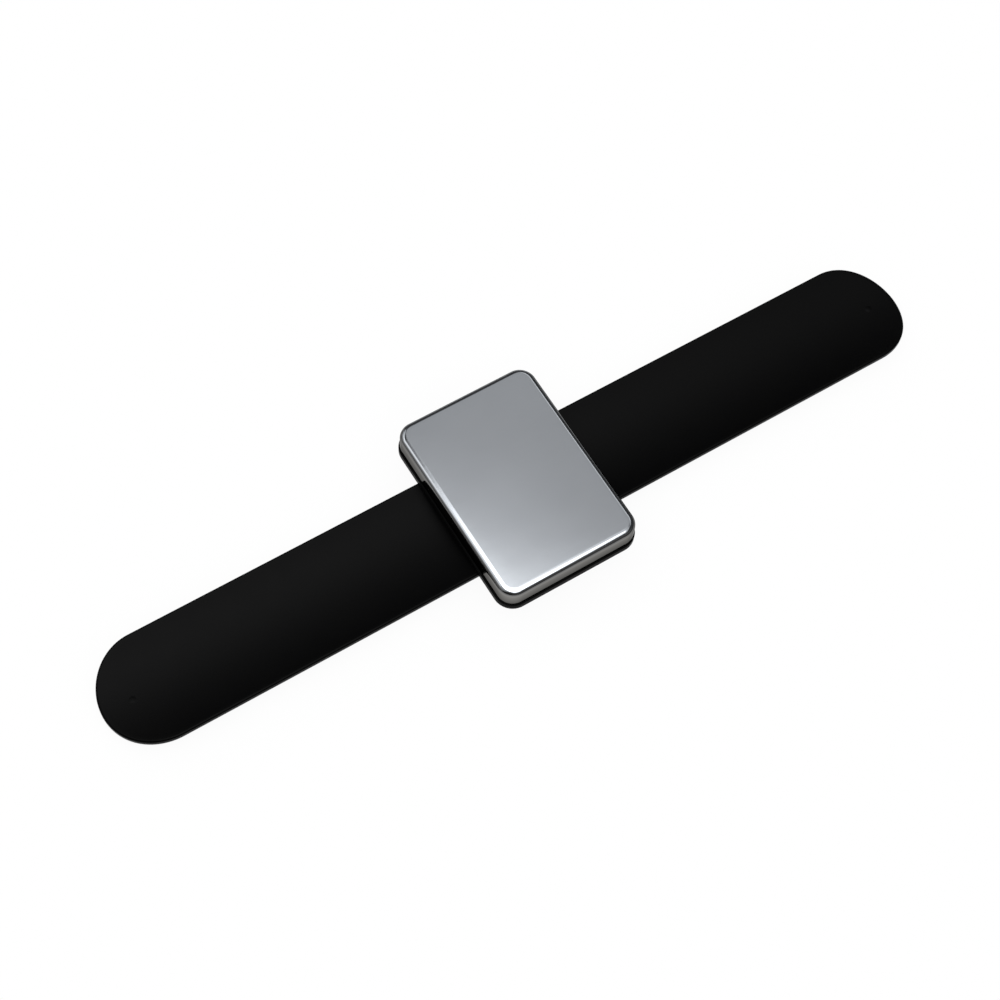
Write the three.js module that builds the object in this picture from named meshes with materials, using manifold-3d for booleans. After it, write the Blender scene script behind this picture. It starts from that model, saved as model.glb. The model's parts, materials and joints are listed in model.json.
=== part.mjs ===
// Magnetic hair clip wristband: a slap band with a steel-capped magnet plate on its middle.
// Units are millimetres. +X runs along the band, +Y across it, +Z up, and the origin is the
// bottom centre of the straight band. Each arm of the band is a chain of short lengths, so that
// it can curl down round a wrist. The pieces are drawn about the middle of the plate, and the
// whole is then moved along the band.

import * as THREE from 'three';
import { mergeVertices } from 'three/addons/utils/BufferGeometryUtils.js';
import Module from 'manifold-3d';

const wasm = await Module();
wasm.setup();

// Band: a silicone sleeve, trough shaped across its width, with rounded ends
const bandLength = 239;
const bandWidth = 30;
const bandThickness = 2.2;
const troughDepth = 2.5;
const bandEdgeRadius = 0.7;
const endLength = 14.6;

// The plate sits a little off the middle of the band
const plateShift = -2.2;

// Spring strip inside the sleeve
const stripWidth = 24;
const stripThickness = 0.2;
const stripEndMargin = 6;

// Chain: the stiff middle under the plate, and the lengths of each arm
const middleLength = 32;
const linkLength = 10.8;
const linksPerArm = 9;
const linkGap = 0.3;

// Mark left by the moulding pin near each end of the band
const pinMarkInset = 8.7;
const pinMarkRadius = 0.9;
const pinMarkDepth = 0.4;

// Base tray: a flange with a wall that the lid fits over
const baseLength = 40.8;
const baseWidth = 56.4;
const baseCornerRadius = 5.2;
const flangeThickness = 2;
const flangeEdgeRadius = 0.35;
const flangeClearance = 0.05;
const trayWall = 1.4;
const ribThickness = 1.2;
const ribHeight = 2.5;

// Saddle under the base tray, which fills the trough of the band
const saddleLength = 30;
const saddleWidth = 24;

// Lid: a drawn steel cap, whose walls lean in by the draft from their foot to the top
const ledge = 0.4;
const lidHeight = 5.8;
const lidDraft = 0.05;
const lidSheet = 0.6;
const lidCornerRadius = 4.6;
const lidEdgeRadius = 1.5;

// Magnets in two columns and three rows, under a foam pad
const magnetColumns = 2;
const magnetRows = 3;
const magnetClearance = 0.25;
const padThickness = 0.8;

// Rivets that hold the base tray on the band
const rivetSpacing = 20;
const rivetShankRadius = 1.5;
const rivetHeadRadius = 3.5;
const rivetHeadThickness = 0.5;
const rivetHeadInset = 0.2;
const rivetTailRadius = 2.5;
const rivetTailThickness = 0.8;
const rivetTailInset = 0.1;

// Clearance between pieces that fit in or round each other
const fit = 0.3;

// Points nearer than this are one point of a solid
const weldDistance = 1e-5;

// Facets
const troughSteps = 12;
const edgeSteps = 3;
const cornerSteps = 6;
const roundSteps = 20;
const endSteps = 24;

// Heights that follow from the sizes above
const flangeBottom = troughDepth + bandThickness + flangeClearance;
const floorTop = flangeBottom + flangeThickness;
const lidTop = floorTop + lidHeight;
const lidUnderside = lidTop - lidSheet;
const magnetTop = lidUnderside - padThickness;

// Sizes in plan that follow from the sizes above
const lidLength = baseLength - 2 * ledge;
const lidWidth = baseWidth - 2 * ledge;
const trayLength = lidLength - 2 * (lidDraft + lidSheet + fit);
const trayWidth = lidWidth - 2 * (lidDraft + lidSheet + fit);
const trayCornerRadius = lidCornerRadius - lidSheet - fit;
const innerLength = trayLength - 2 * trayWall;
const innerWidth = trayWidth - 2 * trayWall;
const innerCornerRadius = trayCornerRadius - trayWall;
const rightReach = bandLength / 2 - plateShift;
const leftReach = bandLength / 2 + plateShift;

// Radius of the band's underside across its width, centred above the band
const troughRadius = (bandWidth / 2) ** 2 / (2 * troughDepth) + troughDepth / 2;

const materials = {
  silicone: { color: 0x141516, roughness: 0.75, metalness: 0 },
  plastic: { color: 0x0c0c0d, roughness: 0.25, metalness: 0 },
  polishedSteel: { color: 0xc4c7cb, roughness: 0.12, metalness: 1 },
  springSteel: { color: 0x8d9196, roughness: 0.35, metalness: 1 },
  ferrite: { color: 0x3b3b3d, roughness: 0.6, metalness: 0.2 },
  foam: { color: 0xd9d6cc, roughness: 0.95, metalness: 0 },
};

const wristband = new THREE.Group();
const assembly = new THREE.Group();
assembly.position.x = plateShift;
wristband.add(assembly);

function addPiece(parent, name, geometry, finish) {
  const mesh = new THREE.Mesh(geometry, new THREE.MeshStandardMaterial(materials[finish]));
  mesh.name = name;
  parent.add(mesh);
}

// Solids for joining and cutting
function solidOf(geometry) {
  const bare = geometry.clone();
  bare.deleteAttribute('normal');
  bare.deleteAttribute('uv');
  const merged = mergeVertices(bare, weldDistance);
  return new wasm.Manifold(new wasm.Mesh({
    numProp: 3,
    vertProperties: new Float32Array(merged.attributes.position.array),
    triVerts: new Uint32Array(merged.index.array),
  }));
}

function geometryOf(solid) {
  const mesh = solid.getMesh();
  const geometry = new THREE.BufferGeometry();
  geometry.setAttribute('position', new THREE.BufferAttribute(mesh.vertProperties, 3));
  geometry.setIndex(new THREE.BufferAttribute(mesh.triVerts, 1));
  geometry.computeVertexNormals();
  return geometry;
}

// Rounded rectangle in plan, centred on the origin
function roundedRectangle(length, width, radius) {
  const x = length / 2 - radius;
  const y = width / 2 - radius;
  const shape = new THREE.Shape();
  shape.absarc(x, y, radius, 0, Math.PI / 2);
  shape.absarc(-x, y, radius, Math.PI / 2, Math.PI);
  shape.absarc(-x, -y, radius, Math.PI, 1.5 * Math.PI);
  shape.absarc(x, -y, radius, 1.5 * Math.PI, 2 * Math.PI);
  return shape;
}

// Plate with square edges between two heights
function slab(shape, bottom, top) {
  const geometry = new THREE.ExtrudeGeometry(shape, {
    depth: top - bottom,
    bevelEnabled: false,
    curveSegments: cornerSteps,
  });
  return geometry.translate(0, 0, bottom);
}

// Plate with its top and bottom edges rounded
function softSlab(length, width, radius, bottom, top, edgeRadius) {
  const geometry = new THREE.ExtrudeGeometry(roundedRectangle(length, width, radius), {
    depth: top - bottom - 2 * edgeRadius,
    bevelThickness: edgeRadius,
    bevelSize: edgeRadius,
    bevelOffset: -edgeRadius,
    bevelSegments: edgeSteps,
    curveSegments: cornerSteps,
  });
  return geometry.translate(0, 0, bottom + edgeRadius);
}

// Leans the walls of a solid in towards its middle, by draft from its bottom to its top
function leanIn(geometry, bottom, top, draft) {
  const place = geometry.attributes.position;
  for (let i = 0; i < place.count; i++) {
    const lean = draft * (place.getZ(i) - bottom) / (top - bottom);
    place.setX(i, place.getX(i) - Math.sign(place.getX(i)) * lean);
    place.setY(i, place.getY(i) - Math.sign(place.getY(i)) * lean);
  }
  return geometry;
}

function cylinder(radius, bottom, top, x, y) {
  const geometry = new THREE.CylinderGeometry(radius, radius, top - bottom, roundSteps);
  return geometry.rotateX(Math.PI / 2).translate(x, y, (bottom + top) / 2);
}

// Section of the trough, seen along the band: a curved strip of even thickness whose
// underside lies a given lift above the band's own underside
function troughPoints(width, thickness, lift, edgeRadius) {
  const lower = troughRadius - lift;
  const upper = lower - thickness;
  const reach = Math.asin((width / 2 - edgeRadius) / (lower - edgeRadius));
  const at = (radius, angle) =>
    new THREE.Vector2(radius * Math.sin(angle), troughRadius - radius * Math.cos(angle));
  const points = [];
  for (let i = 0; i <= troughSteps; i++) {
    points.push(at(lower, reach * (2 * i / troughSteps - 1)));
  }
  addEdge(points, at, lower - edgeRadius, reach, 1, edgeRadius, 1);
  addEdge(points, at, upper + edgeRadius, reach, 1, edgeRadius, -1);
  for (let i = 0; i <= troughSteps; i++) {
    points.push(at(upper, reach * (1 - 2 * i / troughSteps)));
  }
  addEdge(points, at, upper + edgeRadius, reach, -1, edgeRadius, -1);
  addEdge(points, at, lower - edgeRadius, reach, -1, edgeRadius, 1);
  return points;
}

// Rounded corner of the section, without the end points that the curved faces already have.
// side is the edge of the band, and face is 1 at the underside and -1 at the top.
function addEdge(points, at, radius, reach, side, edgeRadius, face) {
  if (edgeRadius === 0) return;
  const center = at(radius, side * reach);
  const down = at(radius + 1, side * reach).sub(center);
  const out = new THREE.Vector2(-down.y, down.x).multiplyScalar(side);
  const leavesFace = side * face > 0;
  for (let i = 1; i <= edgeSteps; i++) {
    const step = leavesFace ? i : edgeSteps - i;
    const turn = step / edgeSteps * Math.PI / 2;
    points.push(center.clone()
      .addScaledVector(down, face * edgeRadius * Math.cos(turn))
      .addScaledVector(out, edgeRadius * Math.sin(turn)));
  }
}

// Section drawn in Y and Z, run along X
function alongX(shape, from, to) {
  const geometry = new THREE.ExtrudeGeometry(shape, { depth: to - from, bevelEnabled: false });
  const axes = new THREE.Matrix4().makeBasis(
    new THREE.Vector3(0, 1, 0),
    new THREE.Vector3(0, 0, 1),
    new THREE.Vector3(1, 0, 0),
  );
  return geometry.applyMatrix4(axes).translate(from, 0, 0);
}

// Band and strip sections
const stripLift = (bandThickness - stripThickness) / 2;

function sleeveShape() {
  return new THREE.Shape(troughPoints(bandWidth, bandThickness, 0, bandEdgeRadius));
}

function pocketShape() {
  const width = stripWidth + 2 * fit;
  const thickness = stripThickness + 2 * fit;
  return new THREE.Shape(troughPoints(width, thickness, stripLift - fit, 0));
}

function stripShape() {
  return new THREE.Shape(troughPoints(stripWidth, stripThickness, stripLift, 0));
}

function sleeveLink(from, to) {
  const shape = sleeveShape();
  shape.holes.push(pocketShape());
  return alongX(shape, from, to);
}

// Last length of an arm: its plan ends in a half ellipse, and the strip's pocket stops inside it
function sleeveTip(from, tip) {
  const endStart = tip - endLength;
  const plan = new THREE.Shape();
  plan.moveTo(0, -bandWidth);
  plan.lineTo(endStart, -bandWidth);
  plan.lineTo(endStart, -bandWidth / 2);
  plan.absellipse(endStart, 0, endLength, bandWidth / 2, -Math.PI / 2, Math.PI / 2);
  plan.lineTo(endStart, bandWidth);
  plan.lineTo(0, bandWidth);
  const outline = new THREE.ExtrudeGeometry(plan, {
    depth: lidTop,
    bevelEnabled: false,
    curveSegments: endSteps,
  }).translate(0, 0, -lidTop / 2);
  const markBottom = bandThickness - pinMarkDepth;
  const mark = cylinder(pinMarkRadius, markBottom, lidTop, tip - pinMarkInset, 0);
  const solid = solidOf(alongX(sleeveShape(), from, tip))
    .intersect(solidOf(outline))
    .subtract(solidOf(alongX(pocketShape(), from - linkGap, tip - stripEndMargin + fit)))
    .subtract(solidOf(mark));
  return geometryOf(solid);
}

// Rivet places along the band's centre line
const rivetPlaces = [-rivetSpacing / 2, rivetSpacing / 2];

// Middle of the band, held under the base tray
function sleeveMiddle() {
  const half = middleLength / 2 - linkGap / 2;
  let solid = solidOf(sleeveLink(-half, half));
  const midHeight = bandThickness / 2;
  for (const x of rivetPlaces) {
    const shankHole = cylinder(rivetShankRadius + fit, midHeight, lidTop, x, 0);
    const headHole = cylinder(rivetHeadRadius + fit, -lidTop, midHeight, x, 0);
    solid = solid.subtract(solidOf(shankHole)).subtract(solidOf(headHole));
  }
  return geometryOf(solid);
}

function stripMiddle() {
  const half = middleLength / 2 - linkGap / 2;
  let solid = solidOf(alongX(stripShape(), -half, half));
  for (const x of rivetPlaces) {
    solid = solid.subtract(solidOf(cylinder(rivetShankRadius + fit, -lidTop, lidTop, x, 0)));
  }
  return geometryOf(solid);
}

// Arm built along +X to its reach from the middle of the plate; the left arm is turned half round
function buildArm(side, reach, turn) {
  const arm = new THREE.Group();
  arm.rotation.z = turn;
  for (let i = 1; i <= linksPerArm; i++) {
    const from = middleLength / 2 + (i - 1) * linkLength + linkGap / 2;
    const to = from + linkLength - linkGap;
    const last = i === linksPerArm;
    const sleeve = last ? sleeveTip(from, reach) : sleeveLink(from, to);
    addPiece(arm, `sleeve_${side}_${i}`, sleeve, 'silicone');
    const strip = alongX(stripShape(), from, last ? reach - stripEndMargin : to);
    addPiece(arm, `spring_${side}_${i}`, strip, 'springSteel');
  }
  return arm;
}

// Saddle: flat against the flange, curved below to lie in the trough
function saddle() {
  const lower = troughRadius - bandThickness - fit;
  const reach = Math.asin(saddleWidth / 2 / lower);
  const points = [];
  for (let i = 0; i <= troughSteps; i++) {
    const angle = reach * (2 * i / troughSteps - 1);
    points.push(new THREE.Vector2(lower * Math.sin(angle), troughRadius - lower * Math.cos(angle)));
  }
  const embed = flangeBottom + flangeThickness / 2;
  points.push(new THREE.Vector2(saddleWidth / 2, embed), new THREE.Vector2(-saddleWidth / 2, embed));
  return alongX(new THREE.Shape(points), -saddleLength / 2, saddleLength / 2);
}

// Magnet pockets, between the ribs
const pocketLength = (innerLength - (magnetColumns - 1) * ribThickness) / magnetColumns;
const pocketWidth = (innerWidth - (magnetRows - 1) * ribThickness) / magnetRows;

function pocketCenter(index, count, pocket) {
  return (index - (count - 1) / 2) * (pocket + ribThickness);
}

function baseTray() {
  const embed = floorTop - flangeThickness / 2;
  const wallTop = lidTop - lidEdgeRadius;
  const ribTop = floorTop + ribHeight;
  const outer = slab(roundedRectangle(trayLength, trayWidth, trayCornerRadius), embed, wallTop);
  const inner = slab(roundedRectangle(innerLength, innerWidth, innerCornerRadius), floorTop, lidTop);
  let solid = solidOf(softSlab(baseLength, baseWidth, baseCornerRadius, flangeBottom, floorTop,
    flangeEdgeRadius))
    .add(solidOf(saddle()))
    .add(solidOf(outer))
    .subtract(solidOf(inner));
  for (let column = 1; column < magnetColumns; column++) {
    const x = pocketCenter(column - 0.5, magnetColumns, pocketLength);
    const rib = new THREE.BoxGeometry(ribThickness, innerWidth + trayWall, ribTop - embed);
    solid = solid.add(solidOf(rib.translate(x, 0, (ribTop + embed) / 2)));
  }
  for (let row = 1; row < magnetRows; row++) {
    const y = pocketCenter(row - 0.5, magnetRows, pocketWidth);
    const rib = new THREE.BoxGeometry(innerLength + trayWall, ribThickness, ribTop - embed);
    solid = solid.add(solidOf(rib.translate(0, y, (ribTop + embed) / 2)));
  }
  const recessBottom = floorTop - rivetTailInset - rivetTailThickness - fit;
  for (const x of rivetPlaces) {
    const hole = cylinder(rivetShankRadius + fit, -lidTop, floorTop, x, 0);
    const recess = cylinder(rivetTailRadius + fit, recessBottom, lidTop, x, 0);
    solid = solid.subtract(solidOf(hole)).subtract(solidOf(recess));
  }
  return geometryOf(solid);
}

// Lid: a rounded block cut off square below, and hollowed to leave the sheet
function steelLid() {
  const skirt = 2 * lidEdgeRadius;
  const outside = softSlab(lidLength, lidWidth, lidCornerRadius, floorTop - skirt, lidTop, lidEdgeRadius);
  const inside = softSlab(lidLength - 2 * lidSheet, lidWidth - 2 * lidSheet, lidCornerRadius - lidSheet,
    floorTop - skirt, lidUnderside, lidEdgeRadius - lidSheet);
  const below = new THREE.BoxGeometry(baseLength, baseWidth, 2 * skirt);
  below.translate(0, 0, floorTop - skirt);
  leanIn(outside, floorTop, lidTop, lidDraft);
  leanIn(inside, floorTop, lidTop, lidDraft);
  return geometryOf(solidOf(outside).subtract(solidOf(inside)).subtract(solidOf(below)));
}

function addMagnets() {
  let number = 1;
  for (let row = 0; row < magnetRows; row++) {
    for (let column = 0; column < magnetColumns; column++) {
      const outline = roundedRectangle(pocketLength - 2 * magnetClearance,
        pocketWidth - 2 * magnetClearance, innerCornerRadius - magnetClearance);
      const magnet = slab(outline, floorTop, magnetTop);
      const x = pocketCenter(column, magnetColumns, pocketLength);
      const y = pocketCenter(row, magnetRows, pocketWidth);
      addPiece(assembly, `magnet_${number}`, magnet.translate(x, y, 0), 'ferrite');
      number += 1;
    }
  }
}

function lidPad() {
  const outline = roundedRectangle(innerLength - 2 * fit, innerWidth - 2 * fit, innerCornerRadius - fit);
  return slab(outline, magnetTop, lidUnderside);
}

// Rivet: a flat head inside the wrist side of the sleeve, a shank, and a set tail in the tray floor
function rivet(x) {
  const headBottom = rivetHeadInset;
  const headTop = headBottom + rivetHeadThickness;
  const tailTop = floorTop - rivetTailInset;
  const tailBottom = tailTop - rivetTailThickness;
  const profile = [
    new THREE.Vector2(0, headBottom),
    new THREE.Vector2(rivetHeadRadius, headBottom),
    new THREE.Vector2(rivetHeadRadius, headTop),
    new THREE.Vector2(rivetShankRadius, headTop),
    new THREE.Vector2(rivetShankRadius, tailBottom),
    new THREE.Vector2(rivetTailRadius, tailBottom),
    new THREE.Vector2(rivetTailRadius, tailTop),
    new THREE.Vector2(0, tailTop),
  ];
  return new THREE.LatheGeometry(profile, roundSteps).rotateX(Math.PI / 2).translate(x, 0, 0);
}

// Assembly
addPiece(assembly, 'base_tray', baseTray(), 'plastic');
addPiece(assembly, 'steel_lid', steelLid(), 'polishedSteel');
addPiece(assembly, 'lid_pad', lidPad(), 'foam');
addMagnets();
rivetPlaces.forEach((x, i) => addPiece(assembly, `rivet_${i + 1}`, rivet(x), 'springSteel'));
addPiece(assembly, 'sleeve_middle', sleeveMiddle(), 'silicone');
addPiece(assembly, 'spring_middle', stripMiddle(), 'springSteel');
assembly.add(buildArm('right', rightReach, 0));
assembly.add(buildArm('left', leftReach, Math.PI));

export default wristband;
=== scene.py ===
import json
import math

import bmesh
import bpy
from mathutils import Matrix, Vector


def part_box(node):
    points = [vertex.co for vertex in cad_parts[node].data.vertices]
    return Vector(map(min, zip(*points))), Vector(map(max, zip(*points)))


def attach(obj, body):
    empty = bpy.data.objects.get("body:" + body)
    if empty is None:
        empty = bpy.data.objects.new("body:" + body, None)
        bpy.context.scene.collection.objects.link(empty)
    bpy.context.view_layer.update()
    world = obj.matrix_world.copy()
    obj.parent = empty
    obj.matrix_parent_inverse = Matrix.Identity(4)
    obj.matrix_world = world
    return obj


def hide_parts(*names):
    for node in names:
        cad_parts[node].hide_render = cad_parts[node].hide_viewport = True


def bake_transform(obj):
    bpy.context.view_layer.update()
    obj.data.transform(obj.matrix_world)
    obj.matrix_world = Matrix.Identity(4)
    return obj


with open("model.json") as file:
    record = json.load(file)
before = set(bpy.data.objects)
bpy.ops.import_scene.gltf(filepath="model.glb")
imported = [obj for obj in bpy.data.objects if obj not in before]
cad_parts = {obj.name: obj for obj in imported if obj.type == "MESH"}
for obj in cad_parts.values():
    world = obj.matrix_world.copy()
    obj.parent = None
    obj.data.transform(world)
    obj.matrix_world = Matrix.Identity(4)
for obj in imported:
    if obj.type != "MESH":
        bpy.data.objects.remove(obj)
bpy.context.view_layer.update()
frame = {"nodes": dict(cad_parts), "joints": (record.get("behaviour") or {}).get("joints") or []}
scene = bpy.context.scene

MM = 0.001

# Band: a trough-shaped silicone sleeve with half-ellipse ends
BAND_HALF_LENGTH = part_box("sleeve_right_9")[1].x
BAND_HALF_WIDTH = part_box("sleeve_right_1")[1].y
BAND_THICKNESS = 2.2 * MM
TROUGH_DEPTH = 2.5 * MM
TROUGH_RADIUS = BAND_HALF_WIDTH ** 2 / (2 * TROUGH_DEPTH) + TROUGH_DEPTH / 2
BAND_EDGE_RADIUS = 0.7 * MM
END_LENGTH = 14.6 * MM
END_START = BAND_HALF_LENGTH - END_LENGTH
PIN_MARK_INSET = 8.1 * MM
PIN_MARK_RADIUS = 0.9 * MM
PIN_MARK_HEIGHT = 0.1 * MM
MIDDLE_HALF_LENGTH = 14.2 * MM
LINKS_PER_ARM = 9
# Faces whose normal has less of an upward or downward share take the edge's finish
EDGE_SLOPE = 0.92

# Plate: a base tray on the middle of the band, under a lid
BASE_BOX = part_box("base_tray")
LID_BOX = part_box("steel_lid")
PLATE_X = (BASE_BOX[0].x + BASE_BOX[1].x) / 2
FIT = 0.3 * MM

# Base tray: a flange round the lid's foot, a wall inside the lid, and a saddle in the trough
BASE_HALF_LENGTH = BASE_BOX[1].x - PLATE_X
BASE_HALF_WIDTH = BASE_BOX[1].y
BASE_CORNER_RADIUS = 5.2 * MM
FLANGE_CLEARANCE = 0.05 * MM
FLANGE_BOTTOM = TROUGH_DEPTH + BAND_THICKNESS + FLANGE_CLEARANCE
FLANGE_EDGE_RADIUS = 0.35 * MM
TRAY_INSET = 1.35 * MM
TRAY_WALL = 1.4 * MM
TRAY_FLOOR = LID_BOX[0].z
TRAY_TOP = BASE_BOX[1].z
LEDGE_RISE = 0.35 * MM
RIB_THICKNESS = 1.2 * MM
RIB_HEIGHT = 2.5 * MM
SADDLE_HALF_LENGTH = 15 * MM
SADDLE_HALF_WIDTH = 12 * MM

# Lid: a drawn cap of polished sheet, with walls that lean in and a face that eases down towards the rim
LID_HALF_LENGTH = LID_BOX[1].x - PLATE_X
LID_HALF_WIDTH = LID_BOX[1].y
LID_FOOT = TRAY_FLOOR + LEDGE_RISE
LID_TOP = LID_BOX[1].z
LID_DRAFT = 0.05 * MM
LID_SHEET = 0.6 * MM
LID_CORNER_RADIUS = 4.6 * MM
LID_EDGE_RADIUS = 1.5 * MM
LID_SHOULDER_REACH = 0.6 * MM
LID_SHOULDER_DROP = 0.02 * MM
# Rings on the flat of the face, as shares of its size
LID_FACE_SHARES = (0.8, 0.6, 0.4, 0.2, 0.05)

# Rivets through the middle of the band
RIVET_SHANK_RADIUS = 1.5 * MM
RIVET_HEAD_RADIUS = 3.5 * MM
RIVET_HEAD_THICKNESS = 0.5 * MM
RIVET_TAIL_RADIUS = 2.5 * MM
RIVET_TAIL_THICKNESS = 0.8 * MM
RIVET_ROUNDING = 0.15 * MM
RIVET_POCKET_FLARE = 0.25 * MM
# Radii on the ends of a rivet, as shares of the head's or the tail's radius
RIVET_HEAD_FLAT = 0.3
RIVET_HEAD_SHOULDER = 0.8
RIVET_TAIL_FLAT = 0.4

# Camera at the photograph's viewing angle, for a square picture
VIEW_AZIMUTH = math.radians(-36.26)
VIEW_ELEVATION = math.radians(63.07)
VIEW_ROLL = math.radians(5.24)
VIEW_DISTANCE = 503.65 * MM
VIEW_TARGET = Vector((-5.356, 1.989, 0)) * MM
FOCAL_LENGTH = 70.18
SENSOR_WIDTH = 36
NEAREST_VISIBLE = 10 * MM

# Mesh resolution
RIM_STEPS = 6
ACROSS_STEPS = 18
LINK_STEPS = 14
END_STEPS = 56
CORNER_STEPS = 16
ARC_STEPS = 8
ROUND_STEPS = 72
SHARP_ANGLE = math.radians(42)


def build_camera():
    """Camera on a line from the target, turned about that line by the roll."""
    back = Vector((
        math.sin(VIEW_AZIMUTH) * math.cos(VIEW_ELEVATION),
        -math.cos(VIEW_AZIMUTH) * math.cos(VIEW_ELEVATION),
        math.sin(VIEW_ELEVATION),
    ))
    level = Vector((0, 0, 1)).cross(back).normalized()
    upright = back.cross(level)
    right = level * math.cos(VIEW_ROLL) + upright * math.sin(VIEW_ROLL)
    up = upright * math.cos(VIEW_ROLL) - level * math.sin(VIEW_ROLL)
    data = bpy.data.cameras.new("camera")
    data.sensor_width = SENSOR_WIDTH
    data.lens = FOCAL_LENGTH
    data.clip_start = NEAREST_VISIBLE
    camera = bpy.data.objects.new("camera", data)
    turn = Matrix((right, up, back)).transposed().to_4x4()
    camera.matrix_world = Matrix.Translation(VIEW_TARGET + back * VIEW_DISTANCE) @ turn
    scene.collection.objects.link(camera)
    scene.camera = camera


# Places of the colour sockets on a mix node
MIX_A = 6
MIX_B = 7
MIX_RESULT = 2


# Node helpers: each but the first returns the socket that carries its result
def add_node(tree, kind, inputs=None, **settings):
    node = tree.nodes.new(kind)
    for name, value in settings.items():
        setattr(node, name, value)
    for name, value in (inputs or {}).items():
        if isinstance(value, bpy.types.NodeSocket):
            tree.links.new(value, node.inputs[name])
        else:
            node.inputs[name].default_value = value
    return node


def noise(tree, size, detail=2.0, stretch=(1, 1, 1)):
    """Noise on the object's own coordinates, with features of about the given size in metres."""
    place = add_node(tree, "ShaderNodeTexCoord").outputs["Object"]
    scaled = add_node(tree, "ShaderNodeMapping", {"Vector": place, "Scale": stretch})
    inputs = {"Vector": scaled.outputs["Vector"], "Scale": 1 / size, "Detail": detail}
    return add_node(tree, "ShaderNodeTexNoise", inputs).outputs["Fac"]


def span(tree, value, low, high, from_low=0.3, from_high=0.7):
    """Maps a value onto a range of numbers, from the range that noise mostly takes or from a given one."""
    inputs = {"Value": value, "From Min": from_low, "From Max": from_high, "To Min": low, "To Max": high}
    return add_node(tree, "ShaderNodeMapRange", inputs).outputs["Result"]


def mix(tree, factor, first, second):
    """Colour between two colours or colour sockets."""
    inputs = {"Factor": factor, MIX_A: first, MIX_B: second}
    return add_node(tree, "ShaderNodeMix", inputs, data_type="RGBA").outputs[MIX_RESULT]


def tint(tree, value, first, second):
    """Mixes two colours by a noise value."""
    return mix(tree, span(tree, value, 0, 1), (*first, 1), (*second, 1))


def calc(tree, operation, *values):
    """One step of arithmetic on numbers or sockets."""
    return add_node(tree, "ShaderNodeMath", dict(enumerate(values)), operation=operation).outputs["Value"]


def bump(tree, height, distance, strength, under=None):
    """Surface relief of the given depth, on top of another relief where there is one."""
    inputs = {"Height": height, "Distance": distance, "Strength": strength}
    if under is not None:
        inputs["Normal"] = under
    return add_node(tree, "ShaderNodeBump", inputs).outputs["Normal"]


# Finishes
def new_material(name):
    material = bpy.data.materials.new(name)
    material.use_nodes = True
    return material, material.node_tree, material.node_tree.nodes["Principled BSDF"]


def silicone(name, roughness, sheen):
    """Black silicone: a trace of mottling, a fine skin texture and a low even sheen."""
    material, tree, shader = new_material(name)
    mottle = noise(tree, 6 * MM, detail=4)
    skin = noise(tree, 0.16 * MM, detail=3)
    tree.links.new(tint(tree, mottle, (0.0005, 0.0005, 0.0006), (0.0007, 0.0007, 0.0008)),
                   shader.inputs["Base Color"])
    tree.links.new(span(tree, mottle, roughness, roughness + 0.02), shader.inputs["Roughness"])
    shader.inputs["Specular IOR Level"].default_value = sheen
    tree.links.new(bump(tree, skin, distance=0.012 * MM, strength=0.5), shader.inputs["Normal"])
    return material


def gloss_plastic():
    """Black moulded plastic with a low gloss and a faint flow of the surface."""
    material, tree, shader = new_material("gloss_plastic")
    flow = noise(tree, 5 * MM, detail=3)
    grain = noise(tree, 0.3 * MM, detail=2)
    tree.links.new(tint(tree, flow, (0.0035, 0.0035, 0.0036), (0.0042, 0.0042, 0.0043)),
                   shader.inputs["Base Color"])
    tree.links.new(span(tree, flow, 0.22, 0.26), shader.inputs["Roughness"])
    shader.inputs["Specular IOR Level"].default_value = 0.008
    tree.links.new(bump(tree, grain, distance=0.004 * MM, strength=0.4), shader.inputs["Normal"])
    return material


def polished_steel():
    """Polished sheet: a bright face with hairlines from handling and a slow waviness.

    The rim and the drawn walls get a darker colour than the face by the way they face, as painted shade,
    with a painted dark band round the rim, and the walls get painted shade that deepens towards their foot.
    """
    material, tree, shader = new_material("polished_steel")
    shader.inputs["Metallic"].default_value = 1
    cloud = noise(tree, 14 * MM, detail=3)
    hairline = noise(tree, 0.25 * MM, detail=2, stretch=(0.02, 1, 1))
    # Painted shade: colour and tint follow the way the surface faces, full metal on the upward face, darker
    # on the rim and walls, with a dark band round the rim
    facing = add_node(tree, "ShaderNodeNewGeometry").outputs["Normal"]
    upward = add_node(tree, "ShaderNodeSeparateXYZ", {"Vector": facing}).outputs["Z"]
    face = span(tree, upward, 0, 1, from_low=0.75, from_high=0.96)
    painted_dark_rim = span(tree, upward, 0, 1, from_low=0.2, from_high=0.45)
    bright = tint(tree, cloud, (0.57, 0.60, 0.64), (0.59, 0.62, 0.66))
    # Painted shade: the walls' colour darkens from their top down to their foot
    place = add_node(tree, "ShaderNodeTexCoord").outputs["Object"]
    height = add_node(tree, "ShaderNodeSeparateXYZ", {"Vector": place}).outputs["Z"]
    painted_shade_rise = span(tree, height, 0, 1, from_low=LID_FOOT, from_high=LID_TOP - LID_EDGE_RADIUS)
    wall_painted_shade = mix(tree, painted_shade_rise, (0.135, 0.133, 0.128, 1), (0.26, 0.255, 0.245, 1))
    # Painted shade of the rim's dark band and the shaded walls, under the bright face
    edge = mix(tree, painted_dark_rim, wall_painted_shade, (0.16, 0.16, 0.16, 1))
    edge_painted_dull_tint = mix(tree, painted_dark_rim, (0.38, 0.38, 0.38, 1), (0.25, 0.25, 0.25, 1))
    tree.links.new(mix(tree, face, edge, bright), shader.inputs["Base Color"])
    tree.links.new(mix(tree, face, edge_painted_dull_tint, (1, 1, 1, 1)), shader.inputs["Specular Tint"])
    tree.links.new(span(tree, hairline, 0.08, 0.1), shader.inputs["Roughness"])
    wavy = bump(tree, cloud, distance=0.03 * MM, strength=0.3)
    scratched = bump(tree, hairline, distance=0.0005 * MM, strength=0.1, under=wavy)
    tree.links.new(scratched, shader.inputs["Normal"])
    return material


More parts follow.
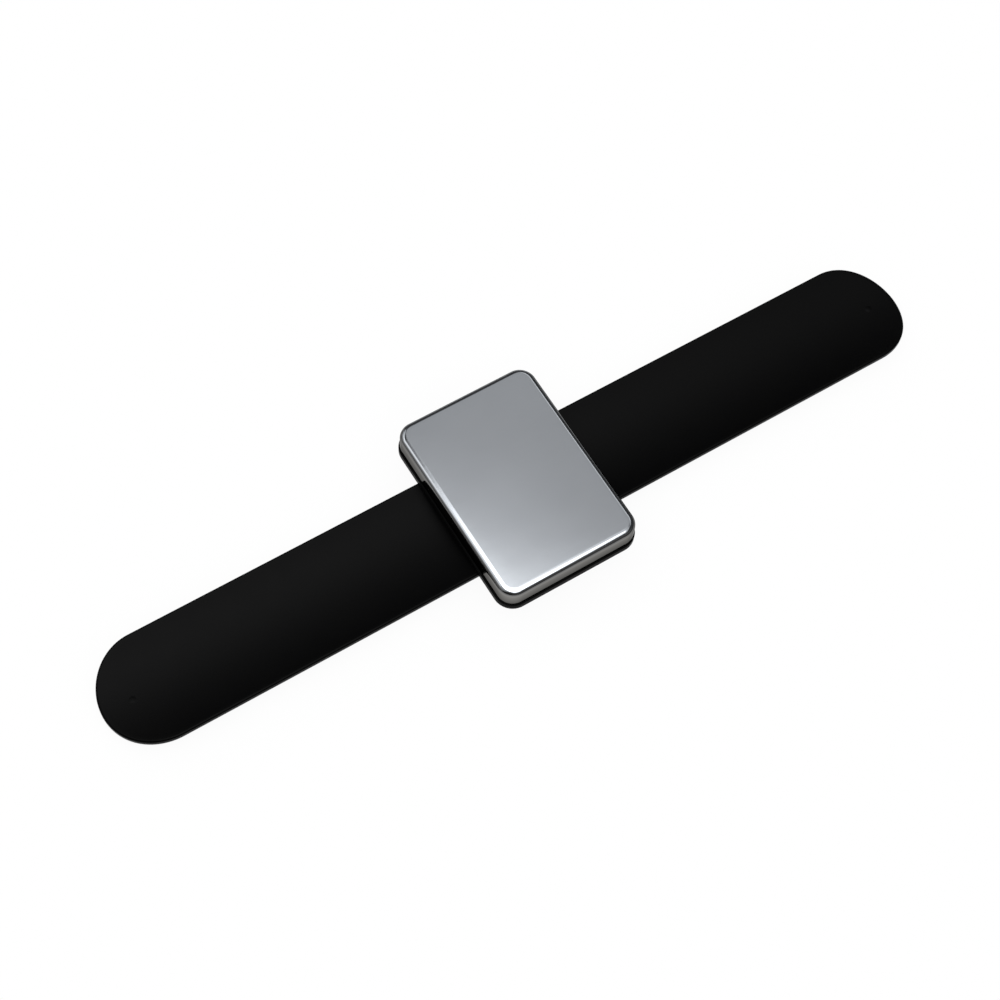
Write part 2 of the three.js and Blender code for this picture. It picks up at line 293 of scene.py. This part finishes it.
def rivet_steel():
    """Satin plated steel, slightly clouded and finely grained."""
    material, tree, shader = new_material("rivet_steel")
    shader.inputs["Metallic"].default_value = 1
    cloud = noise(tree, 1.5 * MM, detail=3)
    tree.links.new(tint(tree, cloud, (0.36, 0.37, 0.38), (0.48, 0.49, 0.50)), shader.inputs["Base Color"])
    tree.links.new(span(tree, cloud, 0.28, 0.42), shader.inputs["Roughness"])
    grain = noise(tree, 0.12 * MM)
    tree.links.new(bump(tree, grain, distance=0.004 * MM, strength=0.4), shader.inputs["Normal"])
    return material


def spring_steel():
    """Rolled spring strip, grained along the band."""
    material, tree, shader = new_material("spring_steel")
    shader.inputs["Metallic"].default_value = 1
    grain = noise(tree, 0.2 * MM, detail=3, stretch=(0.03, 1, 1))
    tree.links.new(tint(tree, grain, (0.24, 0.25, 0.27), (0.34, 0.35, 0.37)), shader.inputs["Base Color"])
    tree.links.new(span(tree, grain, 0.25, 0.4), shader.inputs["Roughness"])
    return material


def ferrite():
    """Dull grey sintered magnet with a granular face."""
    material, tree, shader = new_material("ferrite")
    grain = noise(tree, 0.4 * MM, detail=5)
    tree.links.new(tint(tree, grain, (0.03, 0.03, 0.032), (0.055, 0.055, 0.058)),
                   shader.inputs["Base Color"])
    tree.links.new(span(tree, grain, 0.5, 0.75), shader.inputs["Roughness"])
    tree.links.new(bump(tree, grain, distance=0.02 * MM, strength=0.5), shader.inputs["Normal"])
    return material


def foam_tape():
    """Pale foam tape with open cells."""
    material, tree, shader = new_material("foam_tape")
    cells = noise(tree, 0.5 * MM, detail=4)
    tree.links.new(tint(tree, cells, (0.58, 0.56, 0.50), (0.74, 0.72, 0.66)), shader.inputs["Base Color"])
    shader.inputs["Roughness"].default_value = 0.95
    tree.links.new(bump(tree, cells, distance=0.06 * MM, strength=0.7), shader.inputs["Normal"])
    return material


def sight_rays(tree):
    """One for the rays that see the background: from the camera, in a reflection or through glass."""
    path = add_node(tree, "ShaderNodeLightPath").outputs
    mirrored = calc(tree, "MAXIMUM", path["Is Glossy Ray"], path["Is Transmission Ray"])
    return calc(tree, "MAXIMUM", path["Is Camera Ray"], mirrored)


def floor_paper():
    """White paper to the light, and clear to the sight, but for the object's soft shadow.

    What shows through it is the white below. From underneath it is clear to the light too, so that
    arms curled below the floor are lit and seen.
    """
    material = bpy.data.materials.new("floor_paper")
    material.use_nodes = True
    tree = material.node_tree
    tree.nodes.clear()
    fibre = noise(tree, 2 * MM, detail=3)
    paper = add_node(tree, "ShaderNodeBsdfDiffuse", {"Color": tint(tree, fibre, (0.86,) * 3, (0.9,) * 3)})
    openness = add_node(tree, "ShaderNodeAmbientOcclusion", {"Distance": FLOOR_SHADOW_REACH}).outputs["AO"]
    shadow = span(tree, openness, 1 - FLOOR_SHADOW_DEPTH, 1, from_low=0, from_high=1)
    clear = add_node(tree, "ShaderNodeBsdfTransparent", {"Color": shadow})
    underneath = add_node(tree, "ShaderNodeNewGeometry").outputs["Backfacing"]
    through = calc(tree, "MAXIMUM", sight_rays(tree), underneath)
    surface = add_node(tree, "ShaderNodeMixShader", {0: through, 1: paper.outputs[0], 2: clear.outputs[0]})
    add_node(tree, "ShaderNodeOutputMaterial", {"Surface": surface.outputs[0]})
    return material


# Studio: a white floor in a dim room with soft lights overhead, over a white that shows through the floor.
# A light is a patch of sky with soft edges, placed by the x / z and y / z of its direction:
# centre, half size, edge softness, corner cut (SQUARE for none), level.
FLOOR_HALF_SIZE = 3.0
FLOOR_DROP = 0.05 * MM
FLOOR_SHADOW_DEPTH = 0.06
FLOOR_SHADOW_REACH = 18 * MM
ROOM_LEVEL = 0.05
SQUARE = 0.5
SKY_LIGHTS = (
    # Overhead: the main light towards the near side, its dimmer surround, a fill,
    # and the light that the lid shows at its near left
    ((0.01, -0.28), (0.34, 0.57), 0.15, 0.60, 2.40),
    ((0.025, -0.085), (0.495, 0.48), 0.05, 0.68, 0.54),
    ((0.035, 0.225), (0.285, 0.225), 0.07, 0.54, 0.125),
    ((-0.03, 0.105), (0.28, 0.315), 0.10, 0.55, 1.60),
    # Far side: the grey that the lid's face shows, and a strip for the line along its right rim
    ((0.40, 0.50), (0.22, 0.23), 0.10, SQUARE, 0.39),
    ((0.60, 0.50), (0.06, 0.39), 0.30, SQUARE, 0.80),
    # Lower down: for the left rim, the far left corner, the outer half of the left rim and the near rim
    ((-0.65, 0.62), (0.40, 0.24), 0.30, SQUARE, 0.75),
    ((-0.20, 0.95), (0.30, 0.30), 0.10, SQUARE, 0.60),
    ((-3.30, 1.80), (3.00, 2.20), 0.10, SQUARE, 0.55),
    ((0.60, -2.90), (2.00, 1.90), 0.30, SQUARE, 0.18),
)


def build_floor():
    mesh = bpy.data.meshes.new("floor")
    corners = [(x * FLOOR_HALF_SIZE, y * FLOOR_HALF_SIZE, -FLOOR_DROP)
               for x, y in ((-1, -1), (1, -1), (1, 1), (-1, 1))]
    mesh.from_pydata(corners, [], [(0, 1, 2, 3)])
    mesh.materials.append(floor_paper())
    floor = bpy.data.objects.new("floor", mesh)
    scene.collection.objects.link(floor)


def sky_light(tree, x, y, center, half_size, softness, corner, level):
    """Brightness of one patch of sky, full inside and fading over its edge."""
    off_x = calc(tree, "ABSOLUTE", calc(tree, "SUBTRACT", x, center[0]))
    off_y = calc(tree, "ABSOLUTE", calc(tree, "SUBTRACT", y, center[1]))
    across = calc(tree, "DIVIDE", off_x, half_size[0])
    along = calc(tree, "DIVIDE", off_y, half_size[1])
    diagonal = calc(tree, "MULTIPLY", calc(tree, "ADD", across, along), corner)
    outward = calc(tree, "MAXIMUM", calc(tree, "MAXIMUM", across, along), diagonal)
    inputs = {
        "Value": outward,
        "From Min": 1 - softness,
        "From Max": 1 + softness,
        "To Min": level,
        "To Max": 0,
    }
    return add_node(tree, "ShaderNodeMapRange", inputs, interpolation_type="SMOOTHSTEP").outputs["Result"]


def build_light():
    """Sky with its lights, and below the horizon a white that gives no light and is only seen."""
    world = bpy.data.worlds.new("studio")
    world.use_nodes = True
    scene.world = world
    tree = world.node_tree
    direction = add_node(tree, "ShaderNodeTexCoord").outputs["Generated"]
    parts = add_node(tree, "ShaderNodeSeparateXYZ", {"Vector": direction}).outputs
    x = calc(tree, "DIVIDE", parts["X"], parts["Z"])
    y = calc(tree, "DIVIDE", parts["Y"], parts["Z"])
    level = ROOM_LEVEL
    for light in SKY_LIGHTS:
        level = calc(tree, "ADD", level, sky_light(tree, x, y, *light))
    below = calc(tree, "LESS_THAN", parts["Z"], 0)
    tree.links.new(mix(tree, below, level, sight_rays(tree)), tree.nodes["Background"].inputs["Color"])


# Mesh helpers
def shade(piece):
    """Smooth shading, with the edges that are sharper than the limit kept sharp."""
    bm = bmesh.new()
    bm.from_mesh(piece.data)
    bmesh.ops.recalc_face_normals(bm, faces=bm.faces)
    for face in bm.faces:
        face.smooth = True
    for edge in bm.edges:
        edge.smooth = edge.calc_face_angle(0) < SHARP_ANGLE
    bm.to_mesh(piece.data)
    bm.free()


def new_piece(name, bm):
    mesh = bpy.data.meshes.new(name)
    bm.to_mesh(mesh)
    bm.free()
    piece = bpy.data.objects.new(name, mesh)
    scene.collection.objects.link(piece)
    shade(piece)
    return piece


def carve(piece, tool, operation):
    """Joins a closed tool to a piece, or cuts it away, and removes the tool."""
    modifier = piece.modifiers.new("carve", "BOOLEAN")
    modifier.object = tool
    modifier.operation = operation
    modifier.solver = "EXACT"
    depsgraph = bpy.context.evaluated_depsgraph_get()
    carved = bpy.data.meshes.new_from_object(piece.evaluated_get(depsgraph))
    piece.modifiers.clear()
    piece.data = carved
    bpy.data.objects.remove(tool)
    shade(piece)


def loft(name, rings):
    """Closed skin over rings of points, each with as many points as the last."""
    bm = bmesh.new()
    loops = [[bm.verts.new(point) for point in ring] for ring in rings]
    for lower, upper in zip(loops, loops[1:]):
        for i in range(len(lower)):
            j = (i + 1) % len(lower)
            bm.faces.new((lower[i], lower[j], upper[j], upper[i]))
    bm.faces.new(loops[0])
    bm.faces.new(loops[-1])
    return new_piece(name, bm)


def lathe(name, profile, x):
    """Turned solid about an upright axis at x, from (radius, height) pairs off the axis."""
    turns = [2 * math.pi * i / ROUND_STEPS for i in range(ROUND_STEPS)]
    return loft(name, [[(x + r * math.cos(a), r * math.sin(a), z) for a in turns] for r, z in profile])


def rectangle_ring(half_length, half_width, radius, height, scale=1.0):
    """Rounded rectangle of points at one height, round the middle of the plate."""
    ring = []
    for quarter, (sx, sy) in enumerate(((1, 1), (-1, 1), (-1, -1), (1, -1))):
        for i in range(CORNER_STEPS + 1):
            turn = (quarter + i / CORNER_STEPS) * math.pi / 2
            x = sx * (half_length - radius) + radius * math.cos(turn)
            y = sy * (half_width - radius) + radius * math.sin(turn)
            ring.append((PLATE_X + x * scale, y * scale, height))
    return ring


def arc(center, radius, start, end):
    """Points of an arc in a profile of (inset, height) pairs. Angle 0 faces out, and 90 degrees up."""
    points = []
    for i in range(ARC_STEPS + 1):
        turn = math.radians(start + (end - start) * i / ARC_STEPS)
        points.append((center[0] - radius * math.cos(turn), center[1] + radius * math.sin(turn)))
    return points


# Band
def edge_drop(x, y):
    """How far the rounded edge takes the faces back, from the distance to the band's outline in plan."""
    past_start = abs(x) - END_START
    if past_start <= 0:
        distance = BAND_HALF_WIDTH - abs(y)
    else:
        share = math.hypot(past_start / END_LENGTH, y / BAND_HALF_WIDTH)
        slope = math.hypot(past_start / END_LENGTH ** 2, y / BAND_HALF_WIDTH ** 2) / share
        distance = (1 - share) / slope
    reach = max(0.0, BAND_EDGE_RADIUS - max(0.0, distance))
    return BAND_EDGE_RADIUS - math.sqrt(BAND_EDGE_RADIUS ** 2 - reach ** 2)


def topside(x, y):
    """Height of the upper face at a place in plan."""
    return TROUGH_RADIUS - math.sqrt((TROUGH_RADIUS - BAND_THICKNESS) ** 2 - y * y) - edge_drop(x, y)


def underside(x, y):
    """Height of the lower face at a place in plan."""
    return TROUGH_RADIUS - math.sqrt(TROUGH_RADIUS ** 2 - y * y) + edge_drop(x, y)


def across_stations():
    """Distances from the centre line, even over the face and close together round the edge."""
    face = BAND_HALF_WIDTH - BAND_EDGE_RADIUS
    stations = [face * i / ACROSS_STEPS for i in range(ACROSS_STEPS)]
    for i in range(RIM_STEPS + 1):
        stations.append(face + BAND_EDGE_RADIUS * math.sin(i / RIM_STEPS * math.pi / 2))
    return stations


def strip_polygons(start, end):
    """Quads in plan over a straight stretch of the band."""
    half = across_stations()
    ys = [-y for y in reversed(half[1:])] + half
    xs = [start + (end - start) * i / LINK_STEPS for i in range(LINK_STEPS + 1)]
    return [[(x0, y0), (x1, y0), (x1, y1), (x0, y1)]
            for x0, x1 in zip(xs, xs[1:]) for y0, y1 in zip(ys, ys[1:])]


def end_polygons():
    """Quads in plan over the half-ellipse end, on ellipses that follow its outline."""
    face = BAND_HALF_WIDTH - BAND_EDGE_RADIUS
    rings = []
    for y in across_stations():
        inset = BAND_HALF_WIDTH - y
        x = END_LENGTH - inset if y > face else y * (END_LENGTH - BAND_EDGE_RADIUS) / face
        turns = [math.pi * (i / END_STEPS - 0.5) for i in range(END_STEPS + 1)]
        rings.append([(END_START + x * math.cos(turn), y * math.sin(turn)) for turn in turns])
    polygons = []
    for inner, outer in zip(rings, rings[1:]):
        for i in range(END_STEPS):
            corners = [inner[i], outer[i], outer[i + 1], inner[i + 1]]
            polygons.append(corners if inner is not rings[0] else corners[:3])
    return polygons


def add_face(bm, polygons, height):
    """Adds plan polygons at the heights of one face, and returns its vertices by their place in plan."""
    corners = {}
    for polygon in polygons:
        loop = []
        for x, y in polygon:
            place = (round(x / MM, 4), round(y / MM, 4))
            if place not in corners:
                corners[place] = bm.verts.new((x, y, height(x, y)))
            loop.append(corners[place])
        bm.faces.new(loop)
    return corners


def sleeve(name, polygons):
    """Closed stretch of the sleeve over plan polygons, walled in round its rim."""
    bm = bmesh.new()
    top = add_face(bm, polygons, topside)
    bottom = add_face(bm, polygons, underside)
    below = {top[place]: bottom[place] for place in top}
    rims = [edge for edge in bm.edges if edge.is_boundary and edge.verts[0] in below]
    for edge in rims:
        first, second = edge.verts
        bm.faces.new((first, second, below[second], below[first]))
    return new_piece(name, bm)


def pin_mark(x):
    """Low round pip left by a moulding pin, as a closed dome rooted inside the band."""
    profile = [(PIN_MARK_RADIUS, BAND_THICKNESS / 2)]
    for i in range(ARC_STEPS):
        share = 1 - i / ARC_STEPS
        profile.append((share * PIN_MARK_RADIUS, BAND_THICKNESS + PIN_MARK_HEIGHT * (1 - share ** 2)))
    return lathe("pin_mark", profile, x)


def rivet_pocket(x):
    """Recess in the underside round a rivet head, with a flared mouth."""
    radius = RIVET_HEAD_RADIUS + FIT
    roof = BAND_THICKNESS / 2
    flare = RIVET_POCKET_FLARE
    profile = [
        (radius + 2 * flare, -4 * flare),
        (radius + flare, 0),
        (radius + flare / 3, flare),
        (radius, 2 * flare),
        (radius, roof),
    ]
    return lathe("rivet_pocket", profile, x)


def rivet_places():
    """Distances of the two rivets along the band."""
    return [(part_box(f"rivet_{i}")[0].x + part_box(f"rivet_{i}")[1].x) / 2 for i in (1, 2)]


def build_band(face_material, edge_material):
    """Sleeve cut halfway between hinges, into one stretch for each link of an arm."""
    middle_polygons = strip_polygons(PLATE_X - MIDDLE_HALF_LENGTH, PLATE_X + MIDDLE_HALF_LENGTH)
    middle = sleeve("band_middle", middle_polygons)
    for x in rivet_places():
        carve(middle, rivet_pocket(x), "DIFFERENCE")
    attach(middle, "plate")
    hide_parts("sleeve_middle")
    pieces = [middle]
    joint_place = {joint["child"]: joint["pos_m"][0] for joint in frame["joints"]}
    for side, sign in (("right", 1), ("left", -1)):
        places = [abs(joint_place[f"{side}_{i}"]) for i in range(1, LINKS_PER_ARM + 1)]
        cuts = [MIDDLE_HALF_LENGTH + sign * PLATE_X] + [(a + b) / 2 for a, b in zip(places, places[1:])]
        cuts.append(END_START)
        for i in range(1, LINKS_PER_ARM + 1):
            polygons = strip_polygons(cuts[i - 1], cuts[i])
            if i == LINKS_PER_ARM:
                polygons += end_polygons()
            piece = sleeve(f"band_{side}_{i}", [[(sign * x, y) for x, y in p] for p in polygons])
            if i == LINKS_PER_ARM:
                carve(piece, pin_mark(sign * (BAND_HALF_LENGTH - PIN_MARK_INSET)), "UNION")
            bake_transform(piece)
            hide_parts(f"sleeve_{side}_{i}")
            pieces.append(piece)
    for piece in pieces:
        piece.data.materials.clear()
        piece.data.materials.append(face_material)
        piece.data.materials.append(edge_material)
        for polygon in piece.data.polygons:
            polygon.material_index = int(abs(polygon.normal.z) < EDGE_SLOPE)


# Plate
def build_lid(material):
    """Cap lofted from the underside round the foot and over the rim to the middle of the face."""
    lean = LID_DRAFT * (LID_TOP - LID_EDGE_RADIUS - LID_FOOT) / (LID_TOP - LID_FOOT)
    center = (lean + LID_EDGE_RADIUS, LID_TOP - LID_SHOULDER_DROP - LID_EDGE_RADIUS)
    slope = math.degrees(math.atan(2 * LID_SHOULDER_DROP / LID_SHOULDER_REACH))
    profile = arc(center, LID_EDGE_RADIUS - LID_SHEET, 90, 0)
    profile += [(LID_SHEET, LID_FOOT), (0, LID_FOOT)]
    profile += arc(center, LID_EDGE_RADIUS, 0, 90 - slope)
    for i in range(1, ARC_STEPS + 1):
        share = i / ARC_STEPS
        height = LID_TOP - LID_SHOULDER_DROP * (1 - share) ** 2
        profile.append((center[0] + share * LID_SHOULDER_REACH, height))
    rings = []
    for inset, height in profile:
        rings.append(rectangle_ring(LID_HALF_LENGTH - inset, LID_HALF_WIDTH - inset,
                                    LID_CORNER_RADIUS - inset, height))
    flat_inset = center[0] + LID_SHOULDER_REACH
    for share in LID_FACE_SHARES:
        rings.append(rectangle_ring(LID_HALF_LENGTH - flat_inset, LID_HALF_WIDTH - flat_inset,
                                    LID_CORNER_RADIUS - flat_inset, LID_TOP, share))
    lid = loft("lid_cap", rings)
    lid.data.materials.append(material)
    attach(lid, "plate")
    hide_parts("steel_lid")


def block(name, low, high):
    """Closed box between two corners, used to join ribs to the tray."""
    bm = bmesh.new()
    bmesh.ops.create_cube(bm, size=1)
    for vertex in bm.verts:
        vertex.co = [low[i] if vertex.co[i] < 0 else high[i] for i in range(3)]
    return new_piece(name, bm)


def saddle():
    """Block that fills the trough under the flange."""
    top = (FLANGE_BOTTOM + TRAY_FLOOR) / 2
    ys = [SADDLE_HALF_WIDTH * (i / ACROSS_STEPS * 2 - 1) for i in range(ACROSS_STEPS + 1)]
    section = [(y, topside(0, y) + FIT) for y in ys] + [(SADDLE_HALF_WIDTH, top), (-SADDLE_HALF_WIDTH, top)]
    ends = (PLATE_X - SADDLE_HALF_LENGTH, PLATE_X + SADDLE_HALF_LENGTH)
    return loft("saddle", [[(x, y, z) for y, z in section] for x in ends])


def build_base(material):
    """Flange and tray in one loft, with the saddle, the ribs between magnet pockets and the rivet holes."""
    edge = FLANGE_EDGE_RADIUS
    profile = arc((edge, FLANGE_BOTTOM + edge), edge, -90, 0)
    profile += arc((edge, LID_FOOT - edge), edge, 0, 90)
    profile += [(TRAY_INSET, LID_FOOT), (TRAY_INSET, TRAY_TOP)]
    profile += [(TRAY_INSET + TRAY_WALL, TRAY_TOP), (TRAY_INSET + TRAY_WALL, TRAY_FLOOR)]
    rings = []
    for inset, height in profile:
        rings.append(rectangle_ring(BASE_HALF_LENGTH - inset, BASE_HALF_WIDTH - inset,
                                    BASE_CORNER_RADIUS - inset, height))
    base = loft("base_tray_body", rings)
    carve(base, saddle(), "UNION")
    inner = TRAY_INSET + TRAY_WALL / 2
    half_rib = RIB_THICKNESS / 2
    low = TRAY_FLOOR - edge
    high = TRAY_FLOOR + RIB_HEIGHT
    long_rib = block("rib", (PLATE_X - half_rib, inner - BASE_HALF_WIDTH, low),
                     (PLATE_X + half_rib, BASE_HALF_WIDTH - inner, high))
    carve(base, long_rib, "UNION")
    # Two cross ribs leave three rows of pockets
    pocket_width = (2 * (BASE_HALF_WIDTH - TRAY_INSET - TRAY_WALL) - 2 * RIB_THICKNESS) / 3
    for y in (-(pocket_width + RIB_THICKNESS) / 2, (pocket_width + RIB_THICKNESS) / 2):
        cross_rib = block("rib", (PLATE_X + inner - BASE_HALF_LENGTH, y - half_rib, low),
                          (PLATE_X + BASE_HALF_LENGTH - inner, y + half_rib, high))
        carve(base, cross_rib, "UNION")
    hole = RIVET_SHANK_RADIUS + FIT
    wide = RIVET_TAIL_RADIUS + FIT
    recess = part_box("rivet_1")[1].z - RIVET_TAIL_THICKNESS - FIT
    hole_profile = [(hole, 0), (hole, recess), (wide, recess), (wide, TRAY_TOP)]
    for x in rivet_places():
        carve(base, lathe("hole", hole_profile, x), "DIFFERENCE")
    base.data.materials.clear()
    base.data.materials.append(material)
    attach(base, "plate")
    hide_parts("base_tray")


def build_rivets(material):
    """Rivets with a low domed head under the band and an upset tail in the tray."""
    for number, x in enumerate(rivet_places(), 1):
        node = f"rivet_{number}"
        bottom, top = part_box(node)[0].z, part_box(node)[1].z
        soft = RIVET_ROUNDING
        head = bottom + RIVET_HEAD_THICKNESS
        tail = top - RIVET_TAIL_THICKNESS
        profile = [
            (RIVET_HEAD_FLAT * RIVET_HEAD_RADIUS, bottom),
            (RIVET_HEAD_SHOULDER * RIVET_HEAD_RADIUS, bottom + soft / 4),
            (RIVET_HEAD_RADIUS - soft, bottom + soft / 2),
            (RIVET_HEAD_RADIUS, bottom + 1.5 * soft),
            (RIVET_HEAD_RADIUS, head),
            (RIVET_SHANK_RADIUS, head),
            (RIVET_SHANK_RADIUS, tail),
            (RIVET_TAIL_RADIUS, tail),
            (RIVET_TAIL_RADIUS, top - 2 * soft),
            (RIVET_TAIL_RADIUS - 2 * soft, top),
            (RIVET_TAIL_FLAT * RIVET_TAIL_RADIUS, top),
        ]
        rivet = lathe(f"rivet_body_{number}", profile, x)
        rivet.data.materials.append(material)
        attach(rivet, "plate")
        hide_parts(node)


def dress_inner_nodes():
    """Procedural finishes for the pieces inside, whose CAD shape is kept."""
    finishes = {"magnet": ferrite(), "spring": spring_steel(), "lid_pad": foam_tape()}
    for name, node in frame["nodes"].items():
        for start, material in finishes.items():
            if name.startswith(start):
                node.data.materials.clear()
                node.data.materials.append(material)


scene.view_settings.view_transform = "Standard"
build_camera()
build_floor()
build_light()
build_band(
    silicone("matte_silicone", roughness=0.5, sheen=0.065),
    silicone("smooth_silicone_edge", roughness=0.3, sheen=0.03),
)
build_lid(polished_steel())
build_base(gloss_plastic())
build_rivets(rivet_steel())
dress_inner_nodes()
